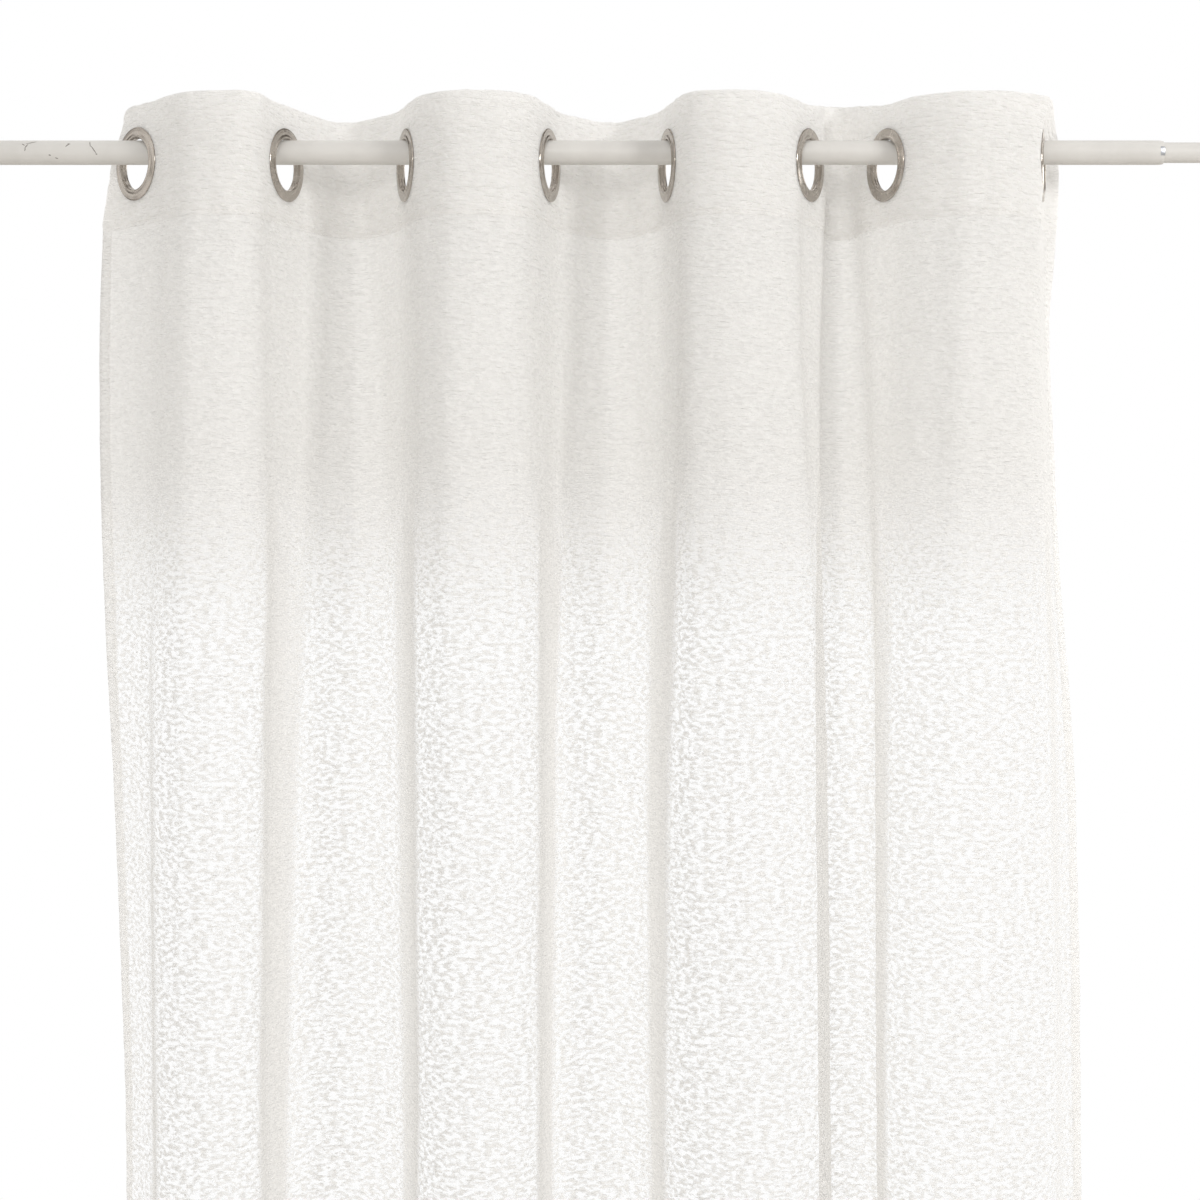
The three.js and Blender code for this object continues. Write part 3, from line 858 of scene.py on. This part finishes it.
def make_stitches(name, places, ahead, out, material, slot, long=1.5, thick=0.27):
    """A row of stitches joined as one piece, at places with the way ahead and the way out."""
    shape, faces = stitch_shape()
    points, all_faces = [], []
    for place, forward, outward in zip(places, ahead, out):
        across = np.cross(outward, forward)
        basis = np.stack([forward * long, across * thick, outward * thick])
        all_faces += [[v + len(points) * len(shape) for v in face] for face in faces]
        points.append(shape @ basis + place)
    mesh = bpy.data.meshes.new(name)
    mesh.from_pydata((np.concatenate(points) * MM).tolist(), [], all_faces)
    mesh.update()
    obj = bpy.data.objects.new(name, mesh)
    bpy.context.collection.objects.link(obj)
    smooth_faces(obj)
    finish_piece(obj, slot, material)
    return obj


def across_row(z, lift, pitch, seed):
    """Places, ways ahead and ways out for a level row of stitches on the cloth's front."""
    u = np.arange(6.0, CLOTH_WIDTH - 5, pitch)
    x, y, angle = plan_curve(z, u)
    wander = 0.25 * soft_noise(u, np.zeros_like(u), 23, 10, seed)
    out = np.stack([np.sin(angle), -np.cos(angle), np.zeros_like(u)], 1)
    ahead = np.stack([np.cos(angle), np.sin(angle), np.zeros_like(u)], 1)
    return np.stack([x, y, z + wander], 1) + out * lift, ahead, out


def down_row(u_at, z_top, z_low, lift, pitch):
    """The same for a row of stitches down a side hem."""
    heights = np.arange(z_top, z_low, -pitch)
    places, ahead, out = [], [], []
    previous = None
    for z in heights:
        x, y, angle = (float(v[0]) for v in plan_curve(z, np.array([u_at])))
        outward = np.array([math.sin(angle), -math.cos(angle), 0.0])
        point = np.array([x, y, z]) + outward * lift
        forward = np.array([0, 0, -1.0]) if previous is None else point - previous
        previous = point
        places.append(point)
        ahead.append(forward / np.linalg.norm(forward))
        out.append(outward)
    return np.array(places), np.array(ahead), np.array(out)


# eyelets and rod

def eyelet_profile():
    """Half of the pressed ring's section, outer rim to the seam in its mouth: radius, lift."""
    slot = HEADING_THICK / 2 + 0.06
    return [
        (21.4, slot), (28.3, slot), (28.66, slot + 0.22), (EYELET_OUTER_R, slot + 0.6),
        (28.62, slot + 0.98),
        (28.25, slot + 1.16), (27.7, slot + 1.18), (26.0, slot + 1.32), (24.2, slot + 1.46),
        (23.9, slot + 1.4), (23.6, slot + 1.46), (22.8, slot + 1.84), (22.0, slot + 2.02),
        (21.3, slot + 2.0), (20.7, slot + 1.75), (20.25, slot + 1.2), (20.05, slot + 0.5),
        (EYELET_INNER_R, 0.35), (20.15, 0.12)]


def make_eyelet_master(material):
    """One eyelet round the Y axis: its section is spun into a ring."""
    half = eyelet_profile()
    section = half + [(r, -lift) for r, lift in reversed(half)]
    deselect()
    bpy.ops.mesh.primitive_circle_add(vertices=len(section), radius=0.004, fill_type="NOTHING")
    ring = named("eyelet_master")
    for vertex, (r, lift) in zip(ring.data.vertices, section):
        vertex.co = (r * MM, lift * MM, 0)
    bpy.ops.object.mode_set(mode="EDIT")
    bpy.ops.mesh.select_all(action="SELECT")
    bpy.ops.mesh.spin(steps=88, angle=2 * math.pi, center=(0, 0, 0), axis=(0, 1, 0))
    bpy.ops.mesh.select_all(action="SELECT")
    bpy.ops.mesh.remove_doubles(threshold=0.00001)
    bpy.ops.mesh.normals_make_consistent(inside=False)
    bpy.ops.object.mode_set(mode="OBJECT")
    bpy.ops.object.shade_smooth_by_angle(angle=math.radians(50))
    radius = np.array([math.hypot(v.co.x, v.co.z) for v in ring.data.vertices]) / MM
    polish = ring.data.attributes.new("polish", "FLOAT", "POINT")
    polish.data.foreach_set("value", np.clip((radius - 28.1) / 0.3, 0, 1))
    ring.data.materials.append(material)
    return ring


def make_eyelets(material):
    """Eight copies of the eyelet, each turned with its pass of the cloth."""
    master = make_eyelet_master(material)
    rings = []
    for index, place in enumerate(eyelet_places()):
        mesh = master.data.copy()
        roll = Matrix.Rotation(0.7 * index, 4, "Y")
        turn = Matrix.Rotation(place["angle"], 4, "Z")
        mesh.transform(Matrix.Translation(Vector((place["x"], 0, place["z"])) * MM) @ turn @ roll)
        ring = bpy.data.objects.new(f"nickel_eyelet_{index + 1}", mesh)
        mesh.name = ring.name
        bpy.context.collection.objects.link(ring)
        finish_piece(ring, "nickel", material, f"eyelet_{index + 1}")
        rings.append(ring)
    discard(master)
    return rings


def add_tube(name, left, right, radius):
    """A plain tube's outside along X."""
    deselect()
    bpy.ops.mesh.primitive_cylinder_add(
        vertices=72, radius=radius * MM, depth=(right - left) * MM, end_fill_type="NGON",
        location=((left + right) / 2 * MM, 0, 0), rotation=(0, math.pi / 2, 0))
    tube = named(name)
    bpy.ops.object.transform_apply(location=True, rotation=True, scale=True)
    return tube


def select_end(tube, way):
    """Selects the flat end face on one side, in edit mode."""
    bpy.ops.object.mode_set(mode="OBJECT")
    for group in (tube.data.vertices, tube.data.edges, tube.data.polygons):
        group.foreach_set("select", np.zeros(len(group), bool))
    ends = [f for f in tube.data.polygons if f.normal.x * way > 0.99 and len(f.vertices) > 8]
    outer = max(ends, key=lambda f: f.center.x * way)
    outer.select = True
    bpy.ops.object.mode_set(mode="EDIT")
    bpy.ops.mesh.select_mode(type="FACE")


def round_end(tube, way, width):
    """Rounds the rim of an end face."""
    select_end(tube, way)
    bpy.ops.mesh.bevel(offset=width * MM, segments=3, affect="EDGES")
    bpy.ops.object.mode_set(mode="OBJECT")


def pull_end(tube, way, length, radius_ratio):
    """Extrudes the end face along the rod and draws it in."""
    select_end(tube, way)
    bpy.ops.mesh.extrude_region_move(TRANSFORM_OT_translate={"value": (way * length * MM, 0, 0)})
    bpy.ops.transform.resize(value=(1, radius_ratio, radius_ratio))
    bpy.ops.object.mode_set(mode="OBJECT")


def make_rod(outer_material, inner_material):
    """The outer tube, drawn in at its mouth, and the inner tube that slides out of it."""
    outer = add_tube("rod_outer", ROD_LEFT, OUTER_TUBE_END - END_TAPER, OUTER_TUBE_R)
    round_end(outer, -1, TUBE_EDGE)
    pull_end(outer, 1, END_TAPER * 0.45, (OUTER_TUBE_R - 0.08) / OUTER_TUBE_R)
    pull_end(outer, 1, END_TAPER * 0.45, (MOUTH_R + 0.15) / (OUTER_TUBE_R - 0.08))
    pull_end(outer, 1, END_TAPER * 0.10, MOUTH_R / (MOUTH_R + 0.15))
    select_end(outer, 1)
    bpy.ops.mesh.inset(thickness=(MOUTH_R - INNER_TUBE_R - SEAT_CLEAR) * MM)
    bpy.ops.mesh.extrude_region_move(TRANSFORM_OT_translate={"value": (-SOCKET_DEPTH * MM, 0, 0)})
    bpy.ops.object.mode_set(mode="OBJECT")
    inner = add_tube("rod_inner", OUTER_TUBE_END - SOCKET_DEPTH + 2, ROD_RIGHT, INNER_TUBE_R)
    round_end(inner, 1, TUBE_EDGE)
    for tube, material in ((outer, outer_material), (inner, inner_material)):
        pick(tube)
        bpy.ops.object.shade_smooth_by_angle(angle=math.radians(40))
        finish_piece(tube, "white_paint", material, tube.name + "_tube")
    return outer, inner


# studio

FLOOR_Z = BOTTOM_Z - 12
CAMERA_DISTANCE = 2.05
CAMERA_Z = -0.352
FRAME_WIDTH = 0.787 * 1.2
SENSOR = 36.0
LIGHTS = (
    dict(name="key", place=(2.6, -2.6, 1.0), aim=(0.0, 0.0, -0.45), size=(0.7, 0.7),
         power=53, colour=(1.0, 0.995, 0.995)),
    dict(name="front", place=(-0.25, -3.2, 0.6), aim=(0.0, 0.0, -0.3), size=(0.5, 0.5),
         power=16, colour=(1.0, 0.995, 0.99)),
    dict(name="side", place=(1.9, 1.05, -0.1), aim=(0.0, 0.0, -0.5), size=(0.8, 1.4),
         power=12, colour=(1.0, 0.995, 0.985)),
    dict(name="fill", place=(-1.8, -3.2, -0.3), aim=(0.0, 0.0, -0.7), size=(2.4, 2.4),
         power=9, colour=(1.0, 0.99, 0.98)),
)


def make_camera():
    """Straight at the cloth, with the rod's plane filling the frame to scale."""
    data = bpy.data.cameras.new("camera")
    data.sensor_width = SENSOR
    data.lens = SENSOR * CAMERA_DISTANCE / FRAME_WIDTH
    data.clip_end = 100
    camera = bpy.data.objects.new("camera", data)
    camera.location = (0, -CAMERA_DISTANCE, CAMERA_Z)
    camera.rotation_euler = (math.pi / 2, 0, 0)
    bpy.context.collection.objects.link(camera)
    bpy.context.scene.camera = camera


def make_light(name, place, aim, size, power, colour):
    """A soft panel light, aimed."""
    data = bpy.data.lights.new(name, "AREA")
    data.shape = "RECTANGLE"
    data.size, data.size_y = size
    data.energy = power
    data.color = colour
    light = bpy.data.objects.new(name, data)
    light.location = place
    light.rotation_euler = (Vector(aim) - Vector(place)).to_track_quat("-Z", "Y").to_euler()
    bpy.context.collection.objects.link(light)


def make_studio():
    """Floor, soft surrounding light and the panel lights."""
    deselect()
    bpy.ops.mesh.primitive_grid_add(x_subdivisions=4, y_subdivisions=4, size=1,
                                    location=(0, -1.4, FLOOR_Z * MM))
    floor = named("floor")
    floor.scale = (14, 13, 1)
    bpy.ops.object.transform_apply(location=True, rotation=True, scale=True)
    floor.data.materials.append(floor_material())

    world = bpy.data.worlds.new("studio")
    bpy.context.scene.world = world
    world.use_nodes = True
    tree = world.node_tree
    tree.nodes.clear()
    seen = node(tree, "ShaderNodeBackground", Strength=1.0)
    seen.inputs["Color"].default_value = (1, 1, 1, 1)
    # more light from the bright side behind the cloth than from the room in front
    way = node(tree, "ShaderNodeTexCoord")
    split = node(tree, "ShaderNodeSeparateXYZ")
    link(tree, way, "Generated", split, "Vector")
    glow = node(tree, "ShaderNodeBackground")
    glow.inputs["Color"].default_value = (1.0, 0.992, 0.98, 1)
    link(tree, ramp(tree, split, "Y", -0.4, 0.6, 0.635, 1.42), "Result", glow, "Strength")
    # shiny metal mirrors a dim room with bright patches instead of an even glow
    patches = node(tree, "ShaderNodeTexNoise", Scale=2.4, Detail=1.0)
    link(tree, way, "Generated", patches, "Vector")
    room = node(tree, "ShaderNodeBackground")
    mirrored = mix_colour(tree, (ramp(tree, patches, "Fac", 0.42, 0.6), "Result"),
                          (0.10, 0.085, 0.07), (1.25, 1.22, 1.18))
    link(tree, mirrored, MIXED, room, "Color")
    path = node(tree, "ShaderNodeLightPath")
    lit = node(tree, "ShaderNodeMixShader")
    link(tree, path, "Is Glossy Ray", lit, "Fac")
    link(tree, glow, "Background", lit, 1)
    link(tree, room, "Background", lit, 2)
    both = node(tree, "ShaderNodeMixShader")
    link(tree, path, "Is Camera Ray", both, "Fac")
    link(tree, lit, "Shader", both, 1)
    link(tree, seen, "Background", both, 2)
    out = node(tree, "ShaderNodeOutputWorld")
    link(tree, both, "Shader", out, "Surface")

    for row in LIGHTS:
        make_light(**row)
    bpy.context.scene.view_settings.view_transform = "Standard"


make_camera()
sheer = crinkle_cloth("crinkle_voile", True)
doubled = crinkle_cloth("crinkle_voile_doubled", False)
thread = thread_material()
nickel = nickel_material()

rod_outer, rod_inner = make_rod(
    rod_paint_material("satin_white_paint", SCUFFS, nick_x=OUTER_TUBE_END - END_TAPER + 0.4),
    rod_paint_material("satin_white_paint_inner", ()))
eyelets = make_eyelets(nickel)
heading = make_heading(doubled)
panel = make_panel(sheer)

seam_row = across_row(SEAM_Z + STITCH_UP, HEADING_THICK / 2 - 0.4, SEAM_PITCH, seed=31)
seam = make_stitches("heading_stitches", *seam_row, thread, "heading_cloth")
hem_rows = [down_row(u, SEAM_Z - 6, BOTTOM_Z + 4, 0.25, HEM_PITCH)
            for u in (SIDE_HEM - 1.5, CLOTH_WIDTH - SIDE_HEM + 1.5)]
hem_rows.append(across_row(BOTTOM_Z + BOTTOM_HEM - 3, 0.3, HEM_PITCH, seed=32))
hems = make_stitches("hem_stitches", *(np.concatenate(part) for part in zip(*hem_rows)),
                     thread, "sheer_cloth")

make_studio()
